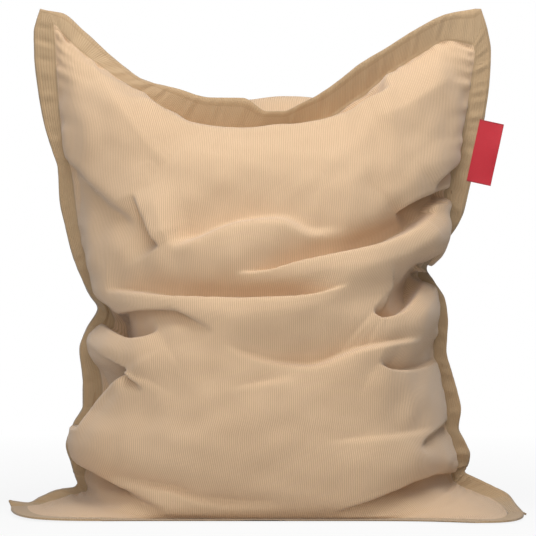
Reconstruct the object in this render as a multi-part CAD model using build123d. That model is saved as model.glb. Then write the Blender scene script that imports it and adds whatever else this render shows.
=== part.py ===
from build123d import *
import math
import os

# Bean bag chair: a big pillow of two corduroy panels, standing on one of its short edges.
# The panels meet in the XZ plane, where their margins are sewn flat on each other as a flange.
# Inside the zipped cover lies a lining bag with a zip of its own, and in that lie the beads.
# Frame: +X to the right as seen from the front, -Y the front, +Z up, the floor at Z = 0.
# The origin is on the floor in the seam plane, under the middle of the top seam. Millimetres.

# ---- the bag's outline in the seam plane -----------------------------------------------------
EAR_TOP = 1073.0          # height of the seam at the two ears
SADDLE_HEIGHT = 838.0     # height of the seam midway between the ears
FOOT_LEFT = 513.0         # how far the seam reaches sideways at the bottom corners
FOOT_RIGHT = 513.0
HIP_LEFT = 404.0          # half widths at the seam, just above the bottom corners
HIP_RIGHT = 402.0
WAIST_LEFT = 348.0        # half widths at the seam, where the bag folds in
WAIST_RIGHT = 348.0
EAR_LEFT = 452.0          # half widths at the seam, under the ears
EAR_RIGHT = 441.0

# ---- the bag's depth, from the seam plane ----------------------------------------------------
FOOT_DEPTH = 248.0        # edge of the footprint, front and back
FRONT_BULGE = 300.0       # front panel at its fullest
BACK_BULGE = 360.0        # back panel at its fullest, if no zip held it flat
BACK_FLAT = 305.0         # the flat that the zip's stiff tapes make in the back panel
ROLL_DEPTH = 112.0        # crest of the roll in front of the top seam
ROLL_HEIGHT = SADDLE_HEIGHT + 18.0
HUMP_DEPTH = 125.0        # crest of the hump behind the top seam
HUMP_HEIGHT = SADDLE_HEIGHT + 70.0

# ---- cloth -----------------------------------------------------------------------------------
COVER_CLOTH = 2.0         # thickness of the corduroy
LINER_CLOTH = 0.8         # thickness of the lining
FLANGE_WIDTH = 36.0       # sewn margin outside the seam
REST_GAP = 0.3            # between pieces that lie on each other
LINER_GAP = 1.5           # between cover and lining all round, above the base
BEADS_GAP = 7.0           # between lining and beads all round, above the base
LINER_BACK_GAP = 8.0      # room between cover and lining for the cover's zip
BEADS_BACK_GAP = 5.0      # room between lining and beads for the lining's zip

# ---- label -----------------------------------------------------------------------------------
LABEL_LENGTH = 138.0      # along the flange
LABEL_REACH = 45.5        # how far it stands out of the flange
LABEL_RIBBON = 0.7        # thickness of the ribbon, which is folded double
LABEL_SLIT = 0.3          # between the ribbon's two layers
LABEL_HEIGHT = EAR_TOP - 275.0    # middle of the label
LABEL_EDGE = EAR_RIGHT + 12.5     # half width of the flange's edge at that height
LABEL_LEAN = 12.2         # degrees by which the edge leans outwards there

# ---- zips ------------------------------------------------------------------------------------
COVER_ZIP_LENGTH = 440.0  # closed chain of the cover's zip
COVER_ZIP_HEIGHT = 196.0
LINER_ZIP_LENGTH = 280.0  # closed chain of the lining's zip
LINER_ZIP_HEIGHT = 290.0
TOOTH_PITCH = 4.0         # along one row of teeth
TOOTH_THICK = 4.0
TOOTH_HEAD = 1.15         # half width of the head that locks behind its neighbours
TOOTH_NECK = 0.65         # half width of the neck behind the head
TOOTH_CLAMP = 1.6         # half width of the clamp on the tape
CLAMP_END = 3.4           # chain's middle to the far end of the clamp
TAPE_WIDTH = 16.0
TAPE_THICK = 1.0
TAPE_EDGE = 1.9           # chain's middle to the tape
TAPE_SPARE = 34.0         # tape past each end of the chain
STOP_LENGTH = 4.0
SLIDER_LENGTH = 15.0
SLIDER_WALL = 1.3
PLATE_THICK = 1.2         # the slider's two plates
RUNNING_GAP = 0.3         # between the slider and what runs through it
DIAMOND_WIDTH = 3.0       # the post that joins the plates and parts the teeth
ROW_SPREAD = 2.2          # how far the slider's mouth spreads each row
LIP_GAP = 1.2             # between the slider and the cloth beside it
BAIL_LENGTH = 10.0        # the arch that holds the puller
BAIL_HEIGHT = 3.4
BAIL_WIDTH = 2.4
BAIL_BAR = 0.9
PULLER_LENGTH = 30.0
PULLER_WIDTH = 8.6
PULLER_TIP = 6.4
PULLER_THICK = 1.3
PULLER_EYE = 6.3          # crossbar's middle to the far end of the eye

HUGE = 3000.0             # larger than the bag, for cutting tools


# ---- the bag's form --------------------------------------------------------------------------
def stations():
    """Lines across the bag, from the floor up to the top seam. Each row holds the seam's height and its left
    and right half widths, the depth and height of the middle of the front panel and of the back panel, and
    how squarely the panels bulge between. The bag folds in lower down on the left side than on the right."""
    return [
        (0.0, FOOT_LEFT, FOOT_RIGHT, FOOT_DEPTH, 0.0, FOOT_DEPTH, 0.0, 1.35),
        (64.0, HIP_LEFT + 22.0, HIP_RIGHT + 26.0, FRONT_BULGE - 22.0, 60.0, BACK_BULGE - 30.0, 60.0, 2.4),
        (180.0, HIP_LEFT + 4.0, HIP_RIGHT + 4.0, FRONT_BULGE, 180.0, BACK_BULGE, 180.0, 3.4),
        (430.0, WAIST_LEFT, WAIST_RIGHT + 22.0, FRONT_BULGE - 14.0, 428.0, BACK_BULGE - 24.0, 438.0, 2.9),
        (510.0, WAIST_LEFT + 26.0, WAIST_RIGHT, FRONT_BULGE - 26.0, 505.0, BACK_BULGE - 40.0, 520.0, 2.6),
        (590.0, EAR_LEFT - 48.0, WAIST_RIGHT + 28.0, FRONT_BULGE - 46.0, 584.0, BACK_BULGE - 60.0, 602.0, 2.45),
        (EAR_TOP - 393.0, EAR_LEFT - 31.0, EAR_RIGHT - 39.0, FRONT_BULGE - 70.0, EAR_TOP - 413.0,
         BACK_BULGE - 84.0, EAR_TOP - 383.0, 2.3),
        (EAR_TOP - 223.0, EAR_LEFT - 5.0, EAR_RIGHT - 9.0, FRONT_BULGE - 130.0, ROLL_HEIGHT - 64.0,
         BACK_BULGE - 145.0, HUMP_HEIGHT - 76.0, 2.1),
        (EAR_TOP - 83.0, EAR_LEFT + 4.0, EAR_RIGHT + 4.0, ROLL_DEPTH, ROLL_HEIGHT, HUMP_DEPTH, HUMP_HEIGHT, 1.9),
        (EAR_TOP - 28.0, EAR_LEFT + 5.0, EAR_RIGHT - 2.0, 34.0, SADDLE_HEIGHT + 10.0,
         40.0, SADDLE_HEIGHT + 16.0, 1.8),
        (EAR_TOP, EAR_LEFT + 4.0, EAR_RIGHT - 8.0, 0.0, SADDLE_HEIGHT, 0.0, SADDLE_HEIGHT, 1.8),
    ]


# The large folds: middle of each across and up, depth, half length, half width and rise per unit across.
FRONT_FOLDS = [
    (-80.0, 478.0, 22.0, 200.0, 64.0, 0.0),      # across the middle
    (230.0, 592.0, 27.0, 160.0, 68.0, 0.35),     # from the middle up to the right side
    (-330.0, 410.0, 20.0, 80.0, 54.0, 0.0),      # in at both sides of the waist
    (320.0, 478.0, 20.0, 70.0, 60.0, 0.6),
]
BACK_FOLDS = [
    (-110.0, 652.0, 21.0, 210.0, 64.0, 0.0),     # across the back, above the flat
    (240.0, 742.0, 15.0, 140.0, 60.0, 0.2),
    (-345.0, 532.0, 18.0, 60.0, 66.0, 0.4),
    (330.0, 556.0, 18.0, 60.0, 66.0, -0.4),
]


def fold_depth(side, x, z):
    """How deep the large folds lie at a point of the front panel (side -1) or the back panel (side 1)."""
    depth = 0.0
    for middle_x, middle_z, deep, reach, width, rise in FRONT_FOLDS if side < 0 else BACK_FOLDS:
        along = (x - middle_x) / reach
        across = (z - middle_z - rise * (x - middle_x)) / width
        depth += deep * math.exp(-along ** 2 - across ** 2)
    return depth


ACROSS = (-1.0, -0.93, -0.8, -0.58, -0.3, 0.0, 0.3, 0.58, 0.8, 0.93, 1.0)         # from the left seam to the right
PARAMETERS = (0.0, 0.1, 0.185, 0.283, 0.392, 0.5, 0.608, 0.717, 0.815, 0.9, 1.0)  # spacing of those points
BULGE_POWER = 0.62        # how steeply a panel leaves its seam
TIP_INSET = 1.15          # the seam moves in by this many times an inset, because the panels meet at an angle
EAR_INSET = 3.2           # the corners of the ears move down by this many times as much again
FOOT_INSET = 5.0          # and the flat corners at the floor move in by this many times as much again
TOP_SLIT = 3.0            # height of the narrow face that closes a panel's form at the top seam
BAND = 5.0                # width of the narrow band along the seam of the beads' form


def inset_rows(inset, floor):
    """The stations taken in by inset, with the lowest one at the height floor."""
    rows = []
    for seam_height, left, right, front, front_height, back, back_height, square in stations():
        if seam_height > SADDLE_HEIGHT:
            drop = TIP_INSET * inset
        else:
            drop = -floor * max(0.0, 1 - seam_height / 180.0)
        ear = 1 + (EAR_INSET - 1) * max(0.0, 1 - (EAR_TOP - seam_height) / 70.0)
        foot = 1 + (FOOT_INSET - 1) * max(0.0, 1 - seam_height / 130.0) ** 2
        side = TIP_INSET * foot * inset
        rows.append((
            seam_height - drop * ear, left - side, right - side,
            max(front - inset, 0.0), front_height - drop, max(back - inset, 0.0), back_height - drop, square,
            row_folds(-1, seam_height, left, right, front_height), row_folds(1, seam_height, left, right, back_height),
        ))
    return rows


def row_folds(side, seam_height, left, right, height):
    """The folds' depths at the points of a line across, the same for every layer of the bag."""
    depths = []
    for t in ACROSS:
        x = t * (left if t < 0 else right)
        z = seam_height + (height - seam_height) * (1 - t * t)
        depths.append(fold_depth(side, x, z) * (1 - abs(t) ** 8))
    return depths


def grain_line(row, side, start=0.0, backwards=False, flat=False, slit=0.0):
    """A line across the front panel (side -1) or the back panel (side 1), from the left seam to the right one,
    both of which lie at a distance start from the seam plane; flat lays the whole line at that distance."""
    seam_height, left, right, front, front_height, back, back_height, square, front_folds, back_folds = row
    depth, height, folds = (front, front_height, front_folds) if side < 0 else (back, back_height, back_folds)
    reach = 0.0 if flat or seam_height > EAR_TOP - 10.0 else depth - start
    points = []
    for t, fold in zip(ACROSS, folds):
        x = t * (left if t < 0 else right)
        y = side * (start + reach * (1 - abs(t) ** square) ** BULGE_POWER - (fold if reach else 0.0))
        z = seam_height + (height - slit - seam_height) * (1 - t * t)
        points.append((x, y, z))
    # every line runs through its points at the same parameters, which keeps the lofted surface light
    return Edge.make_spline(points[::-1] if backwards else points, parameters=PARAMETERS)


def half_form(side, inset, floor, back_plane, start):
    """The solid form of the bag taken in by inset, on one side of the seam plane, at a distance start from it."""
    rows = inset_rows(inset, floor)
    form = Solid.make_loft([
        Wire([
            grain_line(row, side, start),
            grain_line(row, side, start, backwards=True, flat=True, slit=TOP_SLIT if row is rows[-1] else 0.0),
        ])
        for row in rows
    ])
    form -= fold_room(floor)
    return form - behind(back_plane) if side > 0 else form


def whole_form(inset, floor, back_plane):
    """The solid form inside the cloth, with a narrow band along the seam and its back cut flat at back_plane."""
    sections = []
    rows = inset_rows(inset, floor)
    for row in rows:
        if row is rows[-1]:
            front = grain_line((row[0] - BAND, *row[1:4], row[4] - BAND, *row[5:]), -1)
            back = grain_line(row, 1, backwards=True)
        else:
            front, back = grain_line(row, -1, BAND / 2), grain_line(row, 1, BAND / 2, backwards=True)
        sections.append(Wire([front, Edge.make_line(front @ 1, back @ 0), back, Edge.make_line(back @ 1, front @ 0)]))
    return Solid.make_loft(sections) - behind(back_plane) - fold_room(floor)


def fold_room(floor):
    """Room in a base at the height floor for the bottom flange, which lies folded forwards under the bag."""
    fold_front = -(FLANGE_WIDTH + REST_GAP + floor)
    fold_back = COVER_CLOTH + REST_GAP + floor
    fold_height = 2 * COVER_CLOTH + REST_GAP + floor
    return Pos(0, (fold_front + fold_back) / 2, fold_height / 2) * Box(HUGE, fold_back - fold_front, fold_height)


def behind(plane):
    """Everything behind a plane."""
    return Pos(0, plane + HUGE / 2, 0) * Box(HUGE, HUGE, 2 * HUGE)


def in_plane(shape, plane):
    """Whether a face or edge lies wholly in the plane Y = plane."""
    box = shape.bounding_box()
    return abs(box.min.Y - plane) < 0.01 and abs(box.max.Y - plane) < 0.01


def open_skin(form, plane):
    """A solid's faces without those in the plane Y = plane, and the opening that is left there."""
    skin = [f for f in form.faces() if not in_plane(f, plane)]
    opening = [e for f in skin for e in f.edges() if in_plane(e, plane)]
    return skin, Wire.combine(opening)[0]


def panel(side, inset, floor, cloth, back_plane, rim=None):
    """One panel of cloth: the skins of the forms outside and inside it, closed in the seam plane by a narrow face,
    or by the flange round them."""
    start = side * COVER_CLOTH if rim else 0.0
    outside, outside_opening = open_skin(half_form(side, inset, floor, back_plane, abs(start)), start)
    inside, inside_opening = open_skin(half_form(side, inset + cloth, floor + cloth, back_plane - cloth, 0.0), 0.0)
    if rim:
        walls = [f for f in rim.faces() if not in_plane(f, start) and not in_plane(f, 0.0)]
        far = [f for f in rim.faces() if in_plane(f, start)][0]
        near = [f for f in rim.faces() if in_plane(f, 0.0)][0]
        closing = walls + [Face(far.outer_wire(), [outside_opening]), Face(near.outer_wire(), [inside_opening])]
    else:
        closing = [Face(outside_opening, [inside_opening])]
    return Solid(Shell(outside + inside + closing))


# ---- the flange ------------------------------------------------------------------------------
def outset(points, distance):
    """The same line moved sideways to its left."""
    moved = []
    for i, (x, z) in enumerate(points):
        (x0, z0), (x1, z1) = points[max(i - 1, 0)], points[min(i + 1, len(points) - 1)]
        length = math.hypot(x1 - x0, z1 - z0)
        moved.append((x - distance * (z1 - z0) / length, z + distance * (x1 - x0) / length))
    return moved


def label_line():
    """Middle of the flange's straight edge beside the label, and the directions along it and away from it."""
    lean = math.radians(LABEL_LEAN)
    return (
        Vector(LABEL_EDGE, 0, LABEL_HEIGHT),
        Vector(math.sin(lean), 0, math.cos(lean)),
        Vector(math.cos(lean), 0, -math.sin(lean)),
    )


def flange_sheet(side):
    """One panel's sheet beside the seam plane, out to the flange's edge; the panel's opening comes out of it later."""
    rows = stations()
    left = outset([(-row[1], row[0]) for row in rows], FLANGE_WIDTH)
    right = outset([(row[2], row[0]) for row in rows], -FLANGE_WIDTH)
    top_row = rows[-1]
    rise = [top_row[0] + (SADDLE_HEIGHT - top_row[0]) * (1 - t * t) for t in ACROSS]
    reach = [t * (top_row[1] if t < 0 else top_row[2]) for t in ACROSS]
    top = outset(list(zip(reach, rise)), FLANGE_WIDTH)
    left_ear = (left[-1][0], top[0][1])
    right_ear = (right[-1][0], top[-1][1])
    middle, along, _ = label_line()
    label_low, label_high = middle - along * (LABEL_LENGTH / 2 + 4), middle + along * (LABEL_LENGTH / 2 + 4)
    below = [p for p in right[1:] if p[1] < label_low.Z - 30]
    above = [p for p in right[1:-1] if p[1] > label_high.Z + 30]
    bottom = COVER_CLOTH if side < 0 else 0.0
    foot_left, foot_right = (left[0][0], 0.0, bottom), (right[0][0], 0.0, bottom)

    def at(points):
        return [(x, 0.0, z) for x, z in points]

    edge = Wire([
        Edge.make_spline([foot_left] + at(left[1:-1]) + at([left_ear])),
        Edge.make_spline(at([left_ear]) + at(top[1:-1]) + at([right_ear])),
        Edge.make_spline(at([right_ear]) + at(above[::-1]) + [tuple(label_high)]),
        Edge.make_line(label_high, label_low),
        Edge.make_spline([tuple(label_low)] + at(below[::-1]) + [foot_right]),
        Edge.make_line(foot_right, foot_left),
    ])
    return Solid.extrude(Face(edge), Vector(0, side * COVER_CLOTH, 0))


def bottom_flange(side):
    """One panel's layer of the bottom flange, folded forwards flat on the floor."""
    span = FOOT_LEFT + FOOT_RIGHT + 2 * FLANGE_WIDTH
    level = COVER_CLOTH * (1.5 if side < 0 else 0.5)
    return Pos((FOOT_RIGHT - FOOT_LEFT) / 2, -FLANGE_WIDTH / 2, level) * Box(span, FLANGE_WIDTH, COVER_CLOTH)


# ---- cloth pieces ----------------------------------------------------------------------------
def cover_panels():
    """The corduroy panels with their flanges; the back one has a slot for the zip."""
    front, back = (
        panel(side, 0.0, 0.0, COVER_CLOTH, BACK_FLAT, flange_sheet(side)) + bottom_flange(side) for side in (-1, 1)
    )
    return front, back - zip_slot(COVER_ZIP_LENGTH, BACK_FLAT, COVER_ZIP_HEIGHT)


def liner_panels():
    """The lining bag's two panels and the beads inside them."""
    inset, floor = COVER_CLOTH + LINER_GAP, COVER_CLOTH + REST_GAP
    front, back = (panel(side, inset, floor, LINER_CLOTH, liner_back()) for side in (-1, 1))
    beads = whole_form(
        inset + LINER_CLOTH + BEADS_GAP, floor + LINER_CLOTH + REST_GAP, liner_back() - LINER_CLOTH - BEADS_BACK_GAP
    )
    return front, back - zip_slot(LINER_ZIP_LENGTH, liner_back(), LINER_ZIP_HEIGHT), beads


def zip_slot(length, plane, height):
    """Cuts a round-ended slot in a flat panel for a zip of the given chain length."""
    slot_half = slider_half_width() + LIP_GAP
    slot_length = length + 2 * STOP_LENGTH + SLIDER_LENGTH + 2 * slot_half
    return extrude(Plane.XZ.offset(-plane) * Pos(0, height) * SlotOverall(slot_length, 2 * slot_half), 5.0, both=True)


def liner_back():
    """The flat outside of the lining's back."""
    return BACK_FLAT - COVER_CLOTH - LINER_BACK_GAP


def label_tag():
    """A ribbon folded double, standing out of the flange and free to flap about its sewn edge."""
    thick = 2 * LABEL_RIBBON + LABEL_SLIT
    middle, along, away = label_line()
    axis = middle + away * (thick / 2 + REST_GAP)
    flap = Plane(origin=axis - along * (LABEL_LENGTH / 2), x_dir=away, z_dir=along)
    reach = LABEL_REACH - thick
    outline = Pos(reach / 2, 0) * SlotOverall(reach + thick, thick)
    slit = Pos(reach / 2 + LABEL_RIBBON, 0) * SlotOverall(reach, LABEL_SLIT)
    return extrude(flap * (outline - slit), LABEL_LENGTH)


# ---- zips ------------------------------------------------------------------------------------
def slider_half_width():
    return CLAMP_END + RUNNING_GAP + ROW_SPREAD + SLIDER_WALL


def tooth_row(length, side):
    """A row of moulded teeth, each gripping the tape, with its head hooked between the other row's."""
    head_end, head_start, shoulder = -1.1, -0.25, 1.3
    outline = Polyline(
        (TOOTH_HEAD - 0.4, head_end), (TOOTH_HEAD, head_end + 0.4), (TOOTH_HEAD, head_start - 0.2),
        (TOOTH_NECK, head_start + 0.2), (TOOTH_NECK, shoulder - 0.2), (TOOTH_CLAMP, shoulder),
        (TOOTH_CLAMP, CLAMP_END), (-TOOTH_CLAMP, CLAMP_END), (-TOOTH_CLAMP, shoulder),
        (-TOOTH_NECK, shoulder - 0.2), (-TOOTH_NECK, head_start + 0.2), (-TOOTH_HEAD, head_start - 0.2),
        (-TOOTH_HEAD, head_end + 0.4), (0.4 - TOOTH_HEAD, head_end), close=True,
    )
    tooth = extrude(Plane.XZ * make_face(outline), TOOTH_THICK / 2, both=True)
    tooth -= Pos(0, 0, TAPE_EDGE + HUGE / 2) * Box(HUGE, TAPE_THICK, HUGE)
    if side < 0:
        tooth = Rot(0, 180, 0) * tooth
    count = int(length / TOOTH_PITCH) - 1
    start = -length / 2 + TOOTH_CLAMP + REST_GAP + (0.0 if side > 0 else TOOTH_PITCH / 2)
    return Compound([Pos(start + i * TOOTH_PITCH, 0, 0) * tooth for i in range(count)])


def tape(length, side):
    """The woven strip that carries one row of teeth."""
    strip = Box(length + 2 * TAPE_SPARE, TAPE_THICK, TAPE_WIDTH)
    return Pos(0, 0, side * (TAPE_EDGE + TAPE_WIDTH / 2)) * strip


def stop_block(half_height):
    """A clamp on the tapes' edges that the slider runs up against."""
    block = Box(STOP_LENGTH, TOOTH_THICK, 2 * half_height)
    return fillet(block.edges().filter_by(Axis.Z), 0.8)


def end_stop(length):
    """The block that holds both tapes together where the zip starts."""
    block = Pos(-length / 2 - STOP_LENGTH / 2, 0, 0) * stop_block(CLAMP_END)
    for side in (-1, 1):
        block -= tape(length, side)
    return block


def top_stops(length):
    """One small clamp on each tape, where the closed slider stands."""
    place = slider_rest(length) + SLIDER_LENGTH / 2 + RUNNING_GAP + STOP_LENGTH / 2
    size = (CLAMP_END - TAPE_EDGE) / 2 + 0.3
    return Compound([
        Pos(place, 0, side * (TAPE_EDGE - 0.4 + size)) * stop_block(size) - tape(length, side)
        for side in (1, -1)
    ])


def slider_rest(length):
    """Where the slider's middle stands on the closed zip: its diamond is just past the last tooth."""
    return length / 2 - RUNNING_GAP


def slider_travel(length):
    """From there back to the end stop."""
    return slider_rest(length) + length / 2 - SLIDER_LENGTH / 2 - RUNNING_GAP


def slider_block(extra, thick):
    """The slider's outline, narrow where the joined teeth leave it and wide at its mouth."""
    back, mouth = CLAMP_END + RUNNING_GAP + extra, CLAMP_END + RUNNING_GAP + ROW_SPREAD + extra
    end = SLIDER_LENGTH / 2 + (0 if extra else 1)
    outline = Polyline(
        (-end, back), (-SLIDER_LENGTH * 0.2, back), (SLIDER_LENGTH * 0.3, mouth), (end, mouth),
        (end, -mouth), (SLIDER_LENGTH * 0.3, -mouth), (-SLIDER_LENGTH * 0.2, -back), (-end, -back), close=True,
    )
    return extrude(Plane.XZ * make_face(outline), thick / 2, both=True)


def slider(length):
    """Two plates joined by a diamond, with walls that keep the teeth in and slots for the tapes."""
    inner = TOOTH_THICK + 2 * RUNNING_GAP
    body = slider_block(SLIDER_WALL, inner + 2 * PLATE_THICK)
    body = fillet(body.edges().filter_by(Axis.Y), 1.0)
    body -= slider_block(0, inner)
    body -= Box(HUGE, TAPE_THICK + 2 * RUNNING_GAP, HUGE)
    body += slider_plates(inner)
    reach = SLIDER_LENGTH / 2
    diamond = Polyline(
        (0.5, 0), (reach - 3.0, DIAMOND_WIDTH / 2), (reach - 1.5, DIAMOND_WIDTH / 2), (reach - 0.6, 0),
        (reach - 1.5, -DIAMOND_WIDTH / 2), (reach - 3.0, -DIAMOND_WIDTH / 2), close=True,
    )
    body += extrude(Plane.XZ * make_face(diamond), inner / 2 + PLATE_THICK / 2, both=True)
    top = inner / 2 + PLATE_THICK
    arch = Polyline(
        (-BAIL_LENGTH / 2, top), (-BAIL_LENGTH / 2 + 1.0, top + BAIL_HEIGHT),
        (BAIL_LENGTH / 2 - 1.0, top + BAIL_HEIGHT), (BAIL_LENGTH / 2, top),
    )
    outside = make_face(arch + Line((BAIL_LENGTH / 2, top), (-BAIL_LENGTH / 2, top)))
    inside = offset(outside, -BAIL_BAR) + Pos(0, top) * Rectangle(BAIL_LENGTH - 2.6 * BAIL_BAR, 3 * BAIL_BAR)
    bail = extrude(outside - inside, BAIL_WIDTH / 2, both=True)
    bail = fillet(bail.edges().filter_by(Axis.Z).group_by(Axis.Y)[-1], BAIL_BAR / 2)
    return Pos(slider_rest(length), 0, 0) * (body + bail)


def slider_plates(inner):
    """The slider's two plates without the walls between them."""
    block = slider_block(SLIDER_WALL, inner + 2 * PLATE_THICK)
    block = fillet(block.edges().filter_by(Axis.Y), 1.0)
    return block - Box(HUGE, inner, HUGE)


def puller(length):
    """A flat tab that swings on a crossbar under the slider's arch."""
    axis_height = puller_axis_height()
    eye_half = BAIL_WIDTH / 2 + 0.4
    tab = Polyline(
        (-PULLER_THICK / 2, PULLER_WIDTH * 0.37), (PULLER_EYE, PULLER_WIDTH / 2),
        (PULLER_LENGTH, PULLER_TIP / 2), (PULLER_LENGTH, -PULLER_TIP / 2),
        (PULLER_EYE, -PULLER_WIDTH / 2), (-PULLER_THICK / 2, -PULLER_WIDTH * 0.37), close=True,
    )
    tab = extrude(Plane.XZ * make_face(tab), PULLER_THICK / 2, both=True)
    tab = fillet(tab.edges().filter_by(Axis.Y).group_by(Axis.X)[-1], PULLER_TIP / 2 - 0.2)
    eye_start = PULLER_THICK / 2
    tab -= Pos((eye_start + PULLER_EYE) / 2, 0, 0) * Box(PULLER_EYE - eye_start, HUGE, 2 * eye_half)
    tab -= Pos(PULLER_LENGTH - 4.5, 0, 0) * Rot(90, 0, 0) * Cylinder(1.4, HUGE)
    for i in range(4):
        tab += Pos(PULLER_EYE + 4.5 + 3.0 * i, 0, 0) * Box(1.2, PULLER_THICK + 0.6, PULLER_WIDTH * 0.6)
    tab = fillet(tab.edges().filter_by(Axis.Z).group_by(Axis.X)[0], PULLER_THICK / 2 - 0.05)
    return Pos(slider_rest(length), axis_height, 0) * tab


def puller_axis_height():
    """From the chain's middle plane out to the crossbar."""
    return TOOTH_THICK / 2 + RUNNING_GAP + PLATE_THICK + 1.2


def place_zip(shape, cloth_inside, height):
    """Sets a zip part's own frame against the inside of the cloth that the tapes are sewn to."""
    return Pos(0, cloth_inside - TAPE_THICK / 2, height) * shape


def zip_nodes(name, length, cloth_inside, height, with_puller):
    parts = {
        "zip_tape_upper": tape(length, 1),
        "zip_tape_lower": tape(length, -1),
        "zip_teeth_upper": tooth_row(length, 1),
        "zip_teeth_lower": tooth_row(length, -1),
        "zip_end_stop": end_stop(length),
        "zip_top_stops": top_stops(length),
        "zip_slider": slider(length),
    }
    if with_puller:
        parts["zip_puller"] = puller(length)
    return {f"{name}_{key}": place_zip(shape, cloth_inside, height) for key, shape in parts.items()}


def all_nodes():
    front, back = cover_panels()
    liner_front, liner_rear, beads = liner_panels()
    nodes = {
        "cover_front_panel": front,
        "cover_back_panel": back,
        "label_tag": label_tag(),
        "liner_front_panel": liner_front,
        "liner_back_panel": liner_rear,
        "bead_fill": beads,
    }
    nodes |= zip_nodes("cover", COVER_ZIP_LENGTH, BACK_FLAT - COVER_CLOTH, COVER_ZIP_HEIGHT, True)
    nodes |= zip_nodes("liner", LINER_ZIP_LENGTH, liner_back() - LINER_CLOTH, LINER_ZIP_HEIGHT, False)
    return nodes


def main():
    os.makedirs("parts", exist_ok=True)
    for name, shape in all_nodes().items():
        export_step(shape, f"parts/{name}.step")
    middle, along, away = label_line()
    hinge = middle + away * (LABEL_RIBBON + LABEL_SLIT / 2 + REST_GAP)
    print("label hinge", hinge, "along", along)
    print("cover zip travel", slider_travel(COVER_ZIP_LENGTH), "liner zip travel", slider_travel(LINER_ZIP_LENGTH))
    crossbar = BACK_FLAT - COVER_CLOTH - TAPE_THICK / 2 + puller_axis_height()
    print("puller crossbar", slider_rest(COVER_ZIP_LENGTH), crossbar, COVER_ZIP_HEIGHT)


main()
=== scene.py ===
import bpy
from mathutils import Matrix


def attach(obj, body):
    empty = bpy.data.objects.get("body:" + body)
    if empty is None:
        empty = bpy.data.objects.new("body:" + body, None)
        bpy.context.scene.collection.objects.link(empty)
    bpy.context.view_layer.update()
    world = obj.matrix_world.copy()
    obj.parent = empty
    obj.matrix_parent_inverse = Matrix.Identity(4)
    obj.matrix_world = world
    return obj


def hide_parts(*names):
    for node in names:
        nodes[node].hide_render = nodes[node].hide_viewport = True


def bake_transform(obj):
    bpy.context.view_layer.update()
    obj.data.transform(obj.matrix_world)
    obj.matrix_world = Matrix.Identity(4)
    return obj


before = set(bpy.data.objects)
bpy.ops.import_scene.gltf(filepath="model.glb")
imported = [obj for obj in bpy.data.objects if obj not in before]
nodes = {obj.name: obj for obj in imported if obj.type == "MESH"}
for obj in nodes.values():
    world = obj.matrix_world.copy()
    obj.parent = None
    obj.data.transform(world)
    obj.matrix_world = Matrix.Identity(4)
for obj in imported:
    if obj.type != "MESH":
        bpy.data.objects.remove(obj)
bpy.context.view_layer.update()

import math

import bpy
import numpy as np

scene = bpy.context.scene
mm = 0.001


def deselectAll():
    for item in bpy.context.selected_objects:
        item.select_set(False)


def pick(piece):
    deselectAll()
    piece.select_set(True)
    bpy.context.view_layer.objects.active = piece


def newLook(name, colour, roughness):
    look = bpy.data.materials.new(name)
    look.use_nodes = True
    shade = look.node_tree.nodes["Principled BSDF"]
    shade.inputs["Base Color"].default_value = (*colour, 1)
    shade.inputs["Roughness"].default_value = roughness
    return look, look.node_tree.nodes, look.node_tree.links, shade


def mathNode(ns, ls, operation, first, second=None, third=None):
    node = ns.new("ShaderNodeMath")
    node.operation = operation
    for socket, value in zip(node.inputs, (first, second, third)):
        if value is None:
            continue
        if isinstance(value, (int, float)):
            socket.default_value = value
        else:
            ls.new(value, socket)
    return node.outputs[0]


def mixColour(ns, ls, share, first, second):
    node = ns.new("ShaderNodeMix")
    node.data_type = "RGBA"
    ls.new(share, node.inputs[0])
    for socket, value in ((node.inputs[6], first), (node.inputs[7], second)):
        if isinstance(value, tuple):
            socket.default_value = (*value, 1)
        else:
            ls.new(value, socket)
    return node.outputs[2]


# across and along the cloth's flat pattern, in metres
def patternParts(ns, ls):
    pattern = ns.new("ShaderNodeUVMap")
    pattern.uv_map = "pattern"
    parts = ns.new("ShaderNodeSeparateXYZ")
    ls.new(pattern.outputs[0], parts.inputs[0])
    return parts.outputs[0], parts.outputs[1]


def ripple(ns, ls, along, pitch):
    return mathNode(ns, ls, "SINE", mathNode(ns, ls, "MULTIPLY", along, 2 * math.pi / pitch))


def noiseNode(ns, ls, scale, detail=2.0):
    coords = ns.new("ShaderNodeTexCoord")
    noise = ns.new("ShaderNodeTexNoise")
    noise.inputs["Scale"].default_value = scale
    noise.inputs["Detail"].default_value = detail
    ls.new(coords.outputs["Object"], noise.inputs["Vector"])
    return noise.outputs["Fac"]


def roughen(ns, ls, shade, height, strength, distance):
    bump = ns.new("ShaderNodeBump")
    bump.inputs["Strength"].default_value = strength
    bump.inputs["Distance"].default_value = distance
    ls.new(height, bump.inputs["Height"])
    ls.new(bump.outputs[0], shade.inputs["Normal"])


def darker(colour, share):
    return tuple(c * share for c in colour)


def mixShade(ns, ls, share, first, second, end):
    mix = ns.new("ShaderNodeMixShader")
    for place, value in enumerate((share, first, second)):
        ls.new(value, mix.inputs[place])
    ls.new(mix.outputs[0], end.inputs[0])


# a plain white background or glow
def whiteNode(ns, kind, strength):
    white = ns.new(kind)
    white.inputs["Color"].default_value = (1, 1, 1, 1)
    white.inputs["Strength"].default_value = strength
    return white.outputs[0]


view = {
    "distance": 9.0,       # a long lens from far off
    "height": 0.5307,      # what the camera aims at
    "aside": 0.0033,
    "elevation": 2.2,      # degrees above the floor
    "lens": 275.8,
}

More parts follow.
